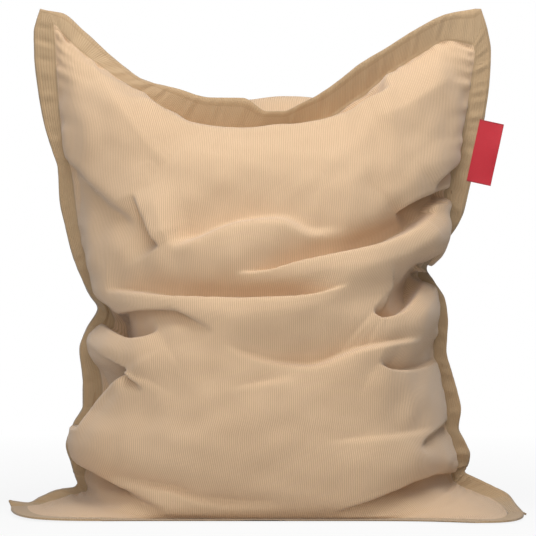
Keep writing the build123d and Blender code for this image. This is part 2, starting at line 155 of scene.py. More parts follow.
lift = math.radians(view["elevation"])
away, above = view["distance"] * math.cos(lift), view["distance"] * math.sin(lift)
bpy.ops.object.camera_add(
    location=(view["aside"], -away, view["height"] + above),
    rotation=(math.radians(90) - lift, 0, 0),
)
camera = bpy.context.object
camera.name = "camera"
camera.data.lens = view["lens"]
camera.data.sensor_width = 36
scene.camera = camera

light = {
    "topPower": 78,                  # a soft box overhead, a little in front
    "topSize": 2.2,
    "topPlace": (0.3, -1.1, 3.2),
    "topTurn": (17, 5, 0),           # degrees
    "frontPower": 114,
    "frontSize": 4.0,
    "frontPlace": (-1.1, -4.5, 2.2),
    "frontTurn": (68, 0, -14),
    "ambient": 0.11,
}


def softBox(name, power, size, place, turn):
    deselectAll()
    bpy.ops.object.light_add(type="AREA", location=place, rotation=[math.radians(angle) for angle in turn])
    box = bpy.context.object
    box.name = name
    box.data.energy = power
    box.data.size = size


for box in ("top", "front"):
    softBox(box + "SoftBox", *(light[box + part] for part in ("Power", "Size", "Place", "Turn")))
scene.view_settings.view_transform = "Standard"

world = bpy.data.worlds.new("studio")
scene.world = world
world.use_nodes = True
wn, wl = world.node_tree.nodes, world.node_tree.links
wn.clear()
worldOut = wn.new("ShaderNodeOutputWorld")
roomLight = whiteNode(wn, "ShaderNodeBackground", light["ambient"])
seenWhite = whiteNode(wn, "ShaderNodeBackground", 1.0)
ray = wn.new("ShaderNodeLightPath").outputs
# metal shows the white backdrop too
sharpRay = mathNode(wn, wl, "MAXIMUM", ray["Is Glossy Ray"], ray["Is Transmission Ray"])
seenRay = mathNode(wn, wl, "MAXIMUM", ray["Is Camera Ray"], sharpRay)
mixShade(wn, wl, seenRay, roomLight, seenWhite, worldOut)

floorForm = {
    "size": 60,
    "level": -0.0004,
    "colour": (0.68, 0.69, 0.70),
    "fade": (0.6, 2.2),          # how far from the bag the floor turns white
    "glow": (0.88, 1.0),         # and how white, near and far
}

deselectAll()
bpy.ops.mesh.primitive_plane_add(size=floorForm["size"], location=(0, 0, floorForm["level"]))
floor = bpy.context.object
floor.name = "floor"
bpy.ops.object.transform_apply(location=True, rotation=True, scale=True)
floorLook, fn, fl, floorShade = newLook("paleFloor", floorForm["colour"], 0.9)
floorShade.inputs["Specular IOR Level"].default_value = 0.0
floorGlow = whiteNode(fn, "ShaderNodeEmission", 1.0)
floorPlace = fn.new("ShaderNodeTexCoord")
floorReach = fn.new("ShaderNodeVectorMath")
floorReach.operation = "LENGTH"
fl.new(floorPlace.outputs["Object"], floorReach.inputs[0])
floorFade = fn.new("ShaderNodeMapRange")         # white far from the bag, where only the backdrop is seen
for socket, value in zip(("From Min", "From Max", "To Min", "To Max"), floorForm["fade"] + floorForm["glow"]):
    floorFade.inputs[socket].default_value = value
fl.new(floorReach.outputs["Value"], floorFade.inputs["Value"])
cameraRay = fn.new("ShaderNodeLightPath").outputs["Is Camera Ray"]
floorShare = mathNode(fn, fl, "MULTIPLY", cameraRay, floorFade.outputs[0])
mixShade(fn, fl, floorShare, floorShade.outputs[0], floorGlow, fn["Material Output"])
floor.data.materials.append(floorLook)
print("stage: camera, floor and light stand")


# the bag's form, in millimetres
bagForm = {
    # share of the panel's height, front depth, height of the middle, squareness, then the same for the back
    "rows": [
        (0.000, 240, 4, 16.0, -240, 4, 16.0),
        (0.060, 242, 3, 14.0, -130, 2, 10.0),
        (0.120, 245, 3, 11.0, 60, 2, 8.0),
        (0.180, 250, 6, 8.0, 222, 2, 5.0),
        (0.200, 256, 14, 6.0, 250, 9, 4.0),
        (0.222, 272, 34, 4.0, 282, 32, 3.0),
        (0.250, 289, 68, 3.0, 300, 68, 2.60),
        (0.337, 307, 180, 3.40, 305, 180, 3.40),
        (0.464, 304, 340, 3.20, 305, 345, 3.20),
        (0.595, 284, 505, 2.60, 300, 520, 2.60),
        (0.723, 242, 660, 2.30, 272, 690, 2.30),
        (0.838, 180, 790, 2.10, 215, 832, 2.10),
        (0.911, 112, 852, 1.90, 125, 918, 1.90),
        (0.972, 36, 848, 1.80, 40, 868, 1.80),
        (1.000, 0, 838, 1.80, 0, 838, 1.80),
    ],
    # the crest of the roll in front of the top seam, and of the hump behind it: x and z
    "frontCrest": [
        (-300, 930), (-265, 903), (-206, 860), (-159, 837), (-59, 825), (3, 836), (103, 849),
        (176, 863), (211, 895), (269, 933),
    ],
    "backCrest": [
        (-430, 1010), (-300, 925), (-200, 896), (-120, 886), (-57, 904), (30, 912), (118, 902),
        (200, 905), (300, 950), (430, 1005),
    ],
    "crestRow": 0.911,
    # share of the height, then the seam's x, y and z
    "leftSeam": [
        (0.00, -522, -45, 10), (0.04, -500, -30, 11), (0.09, -470, -20, 20), (0.13, -432, -10, 32),
        (0.18, -396, 0, 40), (0.20, -392, 0, 46), (0.222, -397, 0, 58), (0.250, -403, 2, 76),
        (0.28, -403, 5, 98), (0.337, -400, 8, 175), (0.38, -378, 12, 225), (0.43, -369, 12, 300),
        (0.464, -376, 8, 350), (0.50, -364, 20, 392), (0.54, -346, 30, 428), (0.595, -368, 15, 490),
        (0.66, -402, 0, 578), (0.723, -421, 0, 672), (0.78, -435, 0, 759), (0.838, -449, 0, 848),
        (0.911, -458, 0, 958), (0.972, -463, 0, 1034), (1.00, -466, 0, 1066),
    ],
    "rightSeam": [
        (0.00, 520, -140, 5), (0.05, 514, -80, 12), (0.09, 490, -25, 26), (0.12, 452, -8, 42),
        (0.15, 430, 0, 50), (0.18, 420, 0, 56), (0.20, 417, 0, 62), (0.222, 415, 0, 72),
        (0.250, 414, 0, 86), (0.29, 411, 0, 112), (0.337, 396, 0, 180), (0.38, 388, 5, 240),
        (0.43, 374, 5, 315), (0.464, 367, 5, 362), (0.50, 373, 4, 420), (0.535, 366, 12, 462),
        (0.565, 346, 30, 500), (0.61, 350, 30, 540), (0.66, 382, 6, 600), (0.71, 402, 0, 680),
        (0.75, 404, 0, 738), (0.78, 417, 0, 788), (0.838, 434, 0, 856), (0.911, 447, 0, 940),
        (0.972, 455, 0, 1000), (1.00, 452, 0, 1018),
    ],
    # the same for the flange's outer edge
    "leftEdge": [
        (0.00, -556, -25, 20), (0.04, -524, -14, 15), (0.09, -498, -8, 27), (0.13, -462, 0, 42),
        (0.18, -420, 8, 50), (0.20, -416, 10, 58), (0.222, -420, 14, 70), (0.250, -425, 18, 84),
        (0.275, -430, 18, 102), (0.305, -441, 14, 140), (0.345, -424, 20, 190), (0.38, -404, 26, 228),
        (0.42, -404, 20, 278), (0.464, -411, 14, 350), (0.50, -396, 24, 396), (0.54, -372, 40, 440),
        (0.58, -390, 24, 472), (0.62, -408, 10, 512), (0.66, -426, 4, 560), (0.70, -441, 0, 620),
        (0.74, -454, 0, 684), (0.775, -457, 0, 748), (0.80, -468, 0, 784), (0.838, -487, 0, 846),
        (0.88, -499, 0, 912), (0.93, -508, 0, 994), (0.972, -509, 0, 1046), (1.00, -503, 0, 1074),
    ],
    "rightEdge": [
        (0.00, 556, -120, 5), (0.05, 546, -60, 14), (0.09, 530, -14, 34), (0.12, 496, -4, 52),
        (0.15, 458, 4, 70), (0.18, 440, 8, 78), (0.20, 436, 12, 82), (0.232, 438, 14, 88),
        (0.268, 444, 12, 100), (0.285, 446, 8, 108), (0.30, 447, 4, 122), (0.318, 437, 4, 148),
        (0.337, 422, 10, 178), (0.365, 427, 4, 219), (0.39, 420, 6, 256), (0.425, 407, 8, 302),
        (0.46, 395, 12, 351), (0.50, 398, 12, 412), (0.535, 393, 18, 458), (0.565, 371, 36, 496),
        (0.60, 352, 52, 528), (0.64, 380, 24, 568), (0.67, 404, 8, 602), (0.70, 428, 2, 642),
        (0.745, 447, 0, 716), (0.79, 463, 0, 792), (0.838, 477, 0, 858), (0.90, 488, 0, 940),
        (0.95, 491, 0, 1004), (0.985, 484, 0, 1050), (1.00, 478, 0, 1072),
    ],
    # place across the panel, from -1 to 1, then the top seam's x, y and z
    "topSeam": [
        (-1.0, -466, 0, 1066), (-0.86, -404, 0, 1002), (-0.73, -345, 0, 956), (-0.57, -273, 0, 908),
        (-0.40, -192, 0, 856), (-0.20, -98, -4, 844), (-0.04, -20, 2, 826), (0.04, 20, 4, 824),
        (0.17, 80, 0, 842), (0.32, 150, 0, 878), (0.45, 211, 0, 916), (0.60, 279, 0, 960),
        (0.75, 341, 0, 1000), (0.88, 396, 0, 1028), (1.00, 452, 0, 1018),
    ],
    "topEdge": [
        (-1.0, -478, 0, 1094), (-0.93, -446, 6, 1088), (-0.86, -398, 12, 1048), (-0.73, -326, 14, 983),
        (-0.60, -267, 8, 942), (-0.43, -196, -4, 924), (-0.25, -122, -18, 904), (-0.11, -51, -24, 903),
        (-0.02, 0, -18, 874), (0.07, 36, -18, 874), (0.17, 74, -24, 890), (0.25, 110, -26, 908),
        (0.35, 158, -28, 941), (0.45, 205, -28, 978), (0.58, 262, -26, 1012), (0.72, 327, -22, 1053),
        (0.86, 394, -14, 1086), (1.00, 456, -6, 1098),
    ],
    "corners": {
        "topLeft": (-495, 0, 1098), "topRight": (469, 0, 1098),
        "footLeft": (-563, -40, 24), "footRight": (562, -140, 3),
    },
    "cloth": 2.0,
    "flange": 36.0,
    "flat": (1200.0, 1550.0),      # what each panel measures between its seams
    "across": 236,                 # faces across and up between the seams
    "up": 310,
    "flangeFaces": 6,
    "backFlat": 305.0,             # where the zip's tapes hold the back flat
    "lowest": 2.2,                 # middle of the cloth that lies on the floor
    "layers": (2.1, 4.3),          # and of the flange's two layers, the back's and the front's
    "lifted": 4.4,                 # higher than this the flange is off the floor
}
halfWide, fullHigh = bagForm["flat"][0] / 2, bagForm["flat"][1]


# a smooth line through rows of key values that doesn't overshoot them
def flow(keys, at):
    keys = np.array(keys, float)
    at = np.asarray(at, float)
    place, value = keys[:, 0], keys[:, 1:]
    step = np.diff(place)[:, None]
    rise = np.diff(value, axis=0) / step
    slope = np.zeros_like(value)
    same = rise[:-1] * rise[1:] > 0
    w1, w2 = 2 * step[1:] + step[:-1], step[1:] + 2 * step[:-1]
    safe = np.where(rise == 0, 1, rise)
    mean = (w1 + w2) / (w1 / safe[:-1] + w2 / safe[1:] + 1e-12)
    slope[1:-1] = np.where(same, mean, 0)
    slope[0], slope[-1] = rise[0], rise[-1]
    k = np.clip(np.searchsorted(place, at, side="right") - 1, 0, len(place) - 2)
    h = (place[k + 1] - place[k])[:, None]
    s = ((at - place[k])[:, None]) / h
    return ((2 * s ** 3 - 3 * s ** 2 + 1) * value[k] + (s ** 3 - 2 * s ** 2 + s) * h * slope[k]
            + (3 * s ** 2 - 2 * s ** 3) * value[k + 1] + (s ** 3 - s ** 2) * h * slope[k + 1])


def smoothStep(x, low, high):
    x = np.clip((x - low) / (high - low), 0, 1)
    return x * x * (3 - 2 * x)


# how far the full bag hangs out over its own side seam at the waist: share of the height, left, right
overhang = [
    (0.0, 0, 0), (0.24, 0, 0), (0.27, 12, 2), (0.32, 26, 6), (0.37, 16, 8), (0.42, 6, 6), (0.50, 6, 4),
    (0.535, 20, 6), (0.575, 40, 14), (0.62, 26, 34), (0.66, 10, 30), (0.70, 4, 10), (0.78, 2, 4), (1.0, 0, 0),
]

surfaceShape = {
    "round": 0.62,                # how full the sections are
    "seamDraw": 6,                # how close to a side its seam draws the cloth
    "hang": (2.6, 9, 14),         # the overhang's gain, and where it swells and ends
    "foot": (0.15, 0.27),         # the bottom rows stay level till near the sides up to here
    "footDraw": 5,
    "topRows": (0.80, 1.0),       # where the rows take up the top seam's shape
    "crestIn": 70,                # how softly the crest line starts and ends
    "crestOut": (20, 30),
    "crestRows": (0.80, 0.90, 0.94, 1.0),
    "smooth": 30,
    "dense": 1200,                # steps along a row before it is spaced out evenly
}


# which numbers of a row belong to this side
def sideRows(v, side):
    rows = flow(bagForm["rows"], v)
    return rows[:, :3].T if side < 0 else rows[:, 3:].T


# each point's place on a line of points, from 0 at its start
def runAlong(points):
    return np.concatenate([[0], np.cumsum(np.linalg.norm(np.diff(points, axis=0), axis=1))])


# how far the rows near the top are moved so that their crest follows its own line
def crestDrop(lines, v, side):
    crest = np.array(bagForm["frontCrest" if side < 0 else "backCrest"], float)
    row = lines[int(np.argmin(np.abs(v - bagForm["crestRow"])))]
    x, first, last = row[:, 0], crest[0, 0], crest[-1, 0]
    before, after = surfaceShape["crestOut"]
    inCrest = smoothStep(x, first, first + surfaceShape["crestIn"])
    inCrest *= 1 - smoothStep(x, last - before, last + after)
    drop = (np.interp(x, crest[:, 0], crest[:, 1]) - row[:, 2]) * inCrest
    reach = surfaceShape["smooth"]
    window = np.hanning(2 * reach + 1)
    drop = np.convolve(np.pad(drop, reach, mode="edge"), window / window.sum(), mode="valid")
    begin, full, ebb, end = surfaceShape["crestRows"]
    share = smoothStep(v, begin, full) * (1 - smoothStep(v, ebb, end))
    return share[:, None] * drop


# one panel's points between its seams: rows from the bottom seam up, columns from the left seam to the right
# one, evenly spaced along the cloth
def bagSurface(side):
    up, across = bagForm["up"], bagForm["across"]
    v = np.linspace(0, 1, up + 1)
    depth, middle, square = sideRows(v, side)
    left, right = flow(bagForm["leftSeam"], v), flow(bagForm["rightSeam"], v)
    bulge = flow(overhang, v)
    dense = np.linspace(-1, 1, surfaceShape["dense"] + 1)
    even = np.linspace(-1, 1, across + 1)
    top = flow(bagForm["topSeam"], dense)
    size, onLeft = np.abs(dense), dense < 0
    gain, swell, stop = surfaceShape["hang"]
    topEnd = np.where(onLeft[:, None], left[-1], right[-1])
    plainTop = middle[-1] + (topEnd[:, 2] - middle[-1]) * size ** 2
    lines = np.zeros((up + 1, len(dense), 3))
    for j in range(up + 1):
        seam = np.where(onLeft[:, None], left[j], right[j])
        hang = np.where(onLeft, bulge[j, 0], bulge[j, 1])
        level = 2 + surfaceShape["footDraw"] * (1 - smoothStep(v[j], *surfaceShape["foot"]))
        x = size * seam[:, 0] + np.sign(dense) * hang * gain * size ** swell * (1 - size ** stop)
        y = side * depth[j] * (1 - size ** square[j]) ** surfaceShape["round"]
        y = y + seam[:, 1] * size ** surfaceShape["seamDraw"]
        z = middle[j] + (seam[:, 2] - middle[j]) * size ** level
        # towards the top the lines take up the shape of the top seam
        share = smoothStep(v[j], *surfaceShape["topRows"])
        x = x + share * (top[:, 0] - size * topEnd[:, 0])
        y = y + share * top[:, 1]
        z = z + share * (top[:, 2] - plainTop)
        lines[j] = np.stack([x, y, z], 1)
    lines[..., 2] += crestDrop(lines, v, side)
    grid = np.zeros((up + 1, across + 1, 3))
    for j, line in enumerate(lines):
        run = runAlong(line)
        run = 2 * run / run[-1] - 1
        for c in range(3):
            grid[j, :, c] = np.interp(even, run, line[:, c])
    return grid, v, even


def gridNormals(grid, side):
    du = np.gradient(grid, axis=1)
    dv = np.gradient(grid, axis=0)
    n = np.cross(du, dv)
    n /= np.linalg.norm(n, axis=2, keepdims=True) + 1e-9
    return n if side < 0 else -n


foldShape = {
    "narrow": 0.62,        # the steep side against its given width
    "deeper": 1.42,        # how much deeper all folds are than given
    "roll": 0.26,          # share of the depth by which the lip rolls out
    "slip": 0.20,          # and by which the valley's floor slips in
    "crest": 4.5,          # the swell's place, in narrow widths
    "crestMost": 40.0,     # and in millimetres at most
    "ledgeTop": 0.8,
    "ledgeFoot": 1.7,
    "gentle": 1.4,         # how the two sides fall away
    "steep": 2.2,
    "reach": (3, 120),     # a fold has ended this many widths off, and this much more
    "slipAt": (-0.3, 1.5), # where the slip and the roll lie and how wide they are, in narrow widths
    "rollAt": (1.8, 1.3),
    "ridge": 1.15,         # how a ridge falls away
}

# Each fold says how wide it runs out on its left and on its right, how high the swell beside it is, and its
# line of (x, z, depth). Left and right are as one walks along the line.
frontFolds = [
    (26, 14, 0.1, [(-265, 912, 0), (-206, 878, 18), (-159, 854, 26), (-59, 842, 28), (3, 848, 28),
        (103, 862, 28), (176, 882, 26), (215, 908, 22), (268, 936, 0)]),
    (46, 11, 0.35, [(-345, 494, 0), (-300, 492, 16), (-183, 482, 34), (-60, 477, 42), (50, 480, 40),
        (100, 490, 22), (170, 510, 0)]),
    (48, 12, 0.40, [(-70, 540, 0), (0, 545, 18), (60, 556, 34), (160, 574, 42), (262, 597, 46),
        (320, 622, 44), (366, 655, 26)]),
    (12, 34, 0.3, [(300, 652, 0), (318, 672, 26), (350, 689, 34), (400, 700, 22)]),
    (12, 16, 0.3, [(366, 706, 0), (388, 729, 12), (418, 756, 8)]),
    (40, 10, 0.35, [(-236, 580, 0), (-252, 604, 20), (-271, 648, 20), (-292, 696, 0)]),
    (34, 40, 0.2, [(-445, 752, 10), (-391, 694, 16), (-337, 651, 16), (-288, 612, 0)]),
    (70, 34, 0.2, [(-215, 604, 0), (-160, 622, 24), (-60, 660, 26), (30, 668, 18), (110, 640, 12),
        (180, 644, 0)]),
    (26, 12, 0.45, [(-395, 432, 30), (-350, 405, 40), (-322, 397, 34), (-296, 391, 26), (-268, 397, 18),
        (-236, 416, 0)]),
    (12, 26, 0.3, [(-345, 416, 10), (-306, 434, 16), (-259, 444, 20), (-204, 446, 20), (-160, 430, 14),
        (-110, 400, 0)]),
    (40, 10, 0.3, [(-395, 190, 20), (-344, 262, 40), (-301, 317, 28), (-296, 326, 0)]),
    (10, 14, 0.3, [(-304, 322, 0), (-292, 306, 14), (-258, 276, 0)]),
    (44, 18, 0.25, [(-90, 386, 0), (-40, 366, 8), (37, 348, 14), (88, 343, 18), (203, 378, 18),
        (290, 392, 12), (330, 396, 0)]),
    (26, 12, 0.3, [(236, 346, 0), (273, 328, 16), (313, 325, 15), (372, 336, 8)]),
    (36, 12, 0.35, [(232, 456, 0), (256, 440, 22), (284, 444, 28), (314, 470, 34), (345, 512, 36)]),
    (16, 22, 0.4, [(-425, 112, 34), (-381, 98, 34), (-338, 72, 26), (-293, 48, 16), (-215, 16, 0)]),
    (22, 18, 0.25, [(-345, 108, 0), (-275, 88, 12), (-203, 74, 14), (-131, 48, 12), (-58, 38, 10),
        (40, 40, 0)]),
    (12, 26, 0.35, [(150, 12, 0), (237, 44, 18), (273, 59, 22), (318, 78, 24), (372, 84, 20),
        (420, 78, 20)]),
    (12, 22, 0.3, [(326, 146, 0), (352, 168, 9), (405, 192, 8)]),
    (30, 14, 0.3, [(120, 176, 0), (200, 184, 4), (320, 192, 4), (370, 200, 0)]),
    (30, 14, 0.3, [(-90, 290, 0), (0, 306, 5), (80, 318, 0)]),
]

# creases that stand out: how wide they run out, and their line of (x, z, height)
frontRidges = [
    (62, [(-440, 1036, 0), (-399, 985, 10), (-341, 907, 18), (-290, 845, 19), (-244, 790, 12),
        (-218, 764, 0)]),
    (46, [(418, 960, 0), (372, 930, 10), (320, 896, 14), (270, 868, 12), (230, 860, 0)]),
]

backFolds = [
    (46, 14, 0.35, [(-400, 700, 0), (-260, 650, 22), (-90, 632, 30), (80, 640, 20), (180, 664, 0)]),
    (40, 14, 0.3, [(60, 740, 0), (180, 725, 16), (300, 744, 22), (404, 780, 10)]),
    (16, 34, 0.35, [(250, 590, 0), (310, 560, 20), (352, 530, 30)]),
    (34, 14, 0.35, [(-352, 520, 30), (-300, 548, 24), (-230, 566, 0)]),
    (30, 16, 0.3, [(-402, 260, 16), (-352, 300, 18), (-300, 316, 0)]),
    (16, 30, 0.3, [(310, 330, 0), (352, 300, 16), (396, 262, 14)]),
    (16, 22, 0.35, [(-420, 108, 30), (-370, 92, 22), (-310, 60, 0)]),
    (16, 22, 0.35, [(310, 60, 0), (360, 90, 22), (420, 104, 28)]),
]


# a crease's line through its points, with what is given along it
def creaseLine(points, steps=None):
    keys = np.array(points, float)
    run = runAlong(keys[:, :2])
    steps = steps or max(24, int(run[-1] / 6))
    return flow(np.column_stack([run, keys]), np.linspace(0, run[-1], steps))


# how far each point of a panel is pushed out along its normal, and slides across the panel (x and z)
def layFolds(x, z, folds):
    push, slideX, slideZ = np.zeros_like(x), np.zeros_like(x), np.zeros_like(x)
    times, more = foldShape["reach"]
    (slipAt, slipWide), (rollAt, rollWide) = foldShape["slipAt"], foldShape["rollAt"]
    for left, right, swell, points in folds:
        line = creaseLine(points)
        lipSide = 1.0 if left < right else -1.0
        wide, narrow = max(left, right), min(left, right) * foldShape["narrow"]
        reach = times * wide + more
        low, high = line[:, :2].min(axis=0) - reach, line[:, :2].max(axis=0) + reach
        near = np.nonzero((x > low[0]) & (x < high[0]) & (z > low[1]) & (z < high[1]))
        px, pz = x[near], z[near]
        best, deep = np.full(px.shape, 1e9), np.zeros(px.shape)
        lip, acrossX, acrossZ = np.ones(px.shape), np.zeros(px.shape), np.zeros(px.shape)
        for (x0, z0, d0), (x1, z1, d1) in zip(line[:-1], line[1:]):
            dx, dz = x1 - x0, z1 - z0
            length = math.hypot(dx, dz) + 1e-9
            s = np.clip(((px - x0) * dx + (pz - z0) * dz) / length ** 2, 0, 1)
            distance = np.hypot(px - (x0 + s * dx), pz - (z0 + s * dz))
            closer = distance < best
            best = np.where(closer, distance, best)
            deep = np.where(closer, d0 + s * (d1 - d0), deep)
            side = np.where(dx * (pz - z0) - dz * (px - x0) > 0, lipSide, -lipSide)
            lip = np.where(closer, side * distance, lip)
            acrossX = np.where(closer, -dz / length * lipSide, acrossX)
            acrossZ = np.where(closer, dx / length * lipSide, acrossZ)
        deep = deep * foldShape["deeper"]
        gentle = np.exp(-(best / wide) ** foldShape["gentle"])
        steep = np.exp(-(best / narrow) ** foldShape["steep"])
        push[near] -= deep * np.where(lip < 0, gentle, steep)
        out = min(foldShape["crest"] * narrow, foldShape["crestMost"])
        crest = lip - out
        ledge = out * np.where(crest < 0, foldShape["ledgeTop"], foldShape["ledgeFoot"])
        push[near] += deep * swell * np.exp(-(crest / ledge) ** 2)
        # the lip rolls out over the valley, and the valley's floor slips in under it
        roll = foldShape["slip"] * deep * np.exp(-((lip - slipAt * narrow) / (slipWide * narrow)) ** 2)
        roll -= foldShape["roll"] * deep * np.exp(-((lip - rollAt * narrow) / (rollWide * narrow)) ** 2)
        slideX[near] += acrossX * roll
        slideZ[near] += acrossZ * roll
    return push, slideX, slideZ


def layRidges(x, z, ridges):
    push = np.zeros_like(x)
    for wide, points in ridges:
        best, high = np.full(x.shape, 1e9), np.zeros(x.shape)
        for lx, lz, lh in creaseLine(points, 60):
            distance = np.hypot(x - lx, z - lz)
            high = np.where(distance < best, lh, high)
            best = np.minimum(distance, best)
        push += high * np.exp(-(best / wide) ** foldShape["ridge"])
    return push


# seeded sine waves in the panel's own plane, for the small unevenness of cloth
def waves(seed, count, low, high):
    pick = np.random.default_rng(seed)
    angle = pick.uniform(0, 2 * math.pi, count)
    number = 2 * math.pi / pick.uniform(low, high, count)
    phase = pick.uniform(0, 2 * math.pi, count)

    def height(a, b):
        total = np.zeros_like(a)
        for k in range(count):
            total += np.sin(number[k] * (np.cos(angle[k]) * a + np.sin(angle[k]) * b) + phase[k])
        return total / math.sqrt(count)
    return height


clothShape = {
    "broad": (9, 190, 420, 3.2),       # waves: how many, their shortest and longest, and how high
    "fine": (16, 60, 130, 1.1),
    "pucker": (8, 26, 62, 3.6),        # small gathers along the seams
    "puckerSide": 34,                  # how far they run in
    "puckerTop": 30,
    "puckerStart": 14,
    "hold": (2, 30),                   # the seams hold the cloth still this near them
    "offFloor": (6, 40),               # and so does the floor
    "foldsFrom": (0.185, 0.205),       # share of the height where the folds begin
    "foldsAtSeam": 0.35,
    "zipFlat": {"side": (268, 340), "top": (290, 420), "foot": (96, 150)},
    "sway": (6, 90, 230),              # the flange's waves
    "swaySide": 5,
    "swayTop": 4,
    "crinkle": (8, 14, 40),            # and its small gathers
    "crinkleHigh": 1.6,
    "clear": (2, -2, 4, -4),           # an inner copy stays clear of dents this many points away
    "backSlack": 8,                    # how far the back may stand out past the zip's flat
}


# one panel's bare form and what its folds, puckers and unevenness add to it
def foldPanel(side):
    grid, v, even = bagSurface(side)
    x, z = grid[..., 0], grid[..., 2]
    vv, uu = np.meshgrid(v, even, indexing="ij")
    a, b = uu * halfWide, vv * fullHigh
    free = np.minimum(1 - np.abs(uu), 1 - vv) * halfWide      # distance from the nearest seam
    hold = smoothStep(free, *clothShape["hold"])
    lowest = smoothStep(z, *clothShape["offFloor"])
    push, slideX, slideZ = layFolds(x, z, frontFolds if side < 0 else backFolds)
    atSeam = clothShape["foldsAtSeam"]
    folded = smoothStep(vv, *clothShape["foldsFrom"]) * (atSeam + (1 - atSeam) * hold)
    if side < 0:
        push += layRidges(x, z, frontRidges)
    push, slideX, slideZ = push * folded, slideX * folded * hold, slideZ * folded * hold
    *broadKind, broadHigh = clothShape["broad"]
    *fineKind, fineHigh = clothShape["fine"]
    broad, fine = waves(11 + side, *broadKind), waves(23 + side, *fineKind)
    push += lowest * hold * (broadHigh * broad(a, b) + fineHigh * fine(a, b))
    fromSide, fromTop = (1 - np.abs(uu)) * halfWide, (1 - vv) * fullHigh
    *puckerKind, puckerHigh = clothShape["pucker"]
    pucker, start = waves(37 + side, *puckerKind), clothShape["puckerStart"]
    alongSide = np.exp(-fromSide / clothShape["puckerSide"]) * smoothStep(fromSide, 0, start)
    alongTop = np.exp(-fromTop / clothShape["puckerTop"]) * smoothStep(fromTop, 0, start)
    push += lowest * puckerHigh * pucker(b, 0 * b + 40 * np.sign(uu)) * alongSide
    push += lowest * puckerHigh * pucker(a, 0 * a + 200) * alongTop
    flat = np.zeros_like(x)
    if side > 0:
        # the zip's tapes hold the cloth flat round them
        still = clothShape["zipFlat"]
        flat = 1 - smoothStep(np.abs(x), *still["side"])
        flat = flat * (1 - smoothStep(z, *still["top"])) * smoothStep(z, *still["foot"])
    return {
        "side": side, "grid": grid, "v": v, "even": even, "flat": flat,
        "normals": gridNormals(grid, side), "push": push * (1 - flat),
        "slideX": slideX * (1 - flat), "slideZ": slideZ * (1 - flat),
    }


# the panel's points, or those of a copy that lies further in and clear of the folds' sharp sides
def layPanel(form, inset=0.0):
    push = form["push"]
    if inset:
        for shift in clothShape["clear"]:
            for axis in (0, 1):
                push = np.minimum(push, np.roll(push, shift, axis))
    grid = form["grid"] + form["normals"] * (push - inset)[..., None]
    grid[..., 0] += form["slideX"]
    grid[..., 2] += form["slideZ"]
    if form["side"] > 0:
        backFlat = bagForm["backFlat"] - inset
        grid[..., 1] += form["flat"] * (backFlat - grid[..., 1])
        grid[..., 1] = np.minimum(grid[..., 1], backFlat + clothShape["backSlack"])
    grid[..., 2] = np.maximum(grid[..., 2], bagForm["lowest"] + inset / 3)
    return grid


panelForms = {-1: foldPanel(-1), 1: foldPanel(1)}


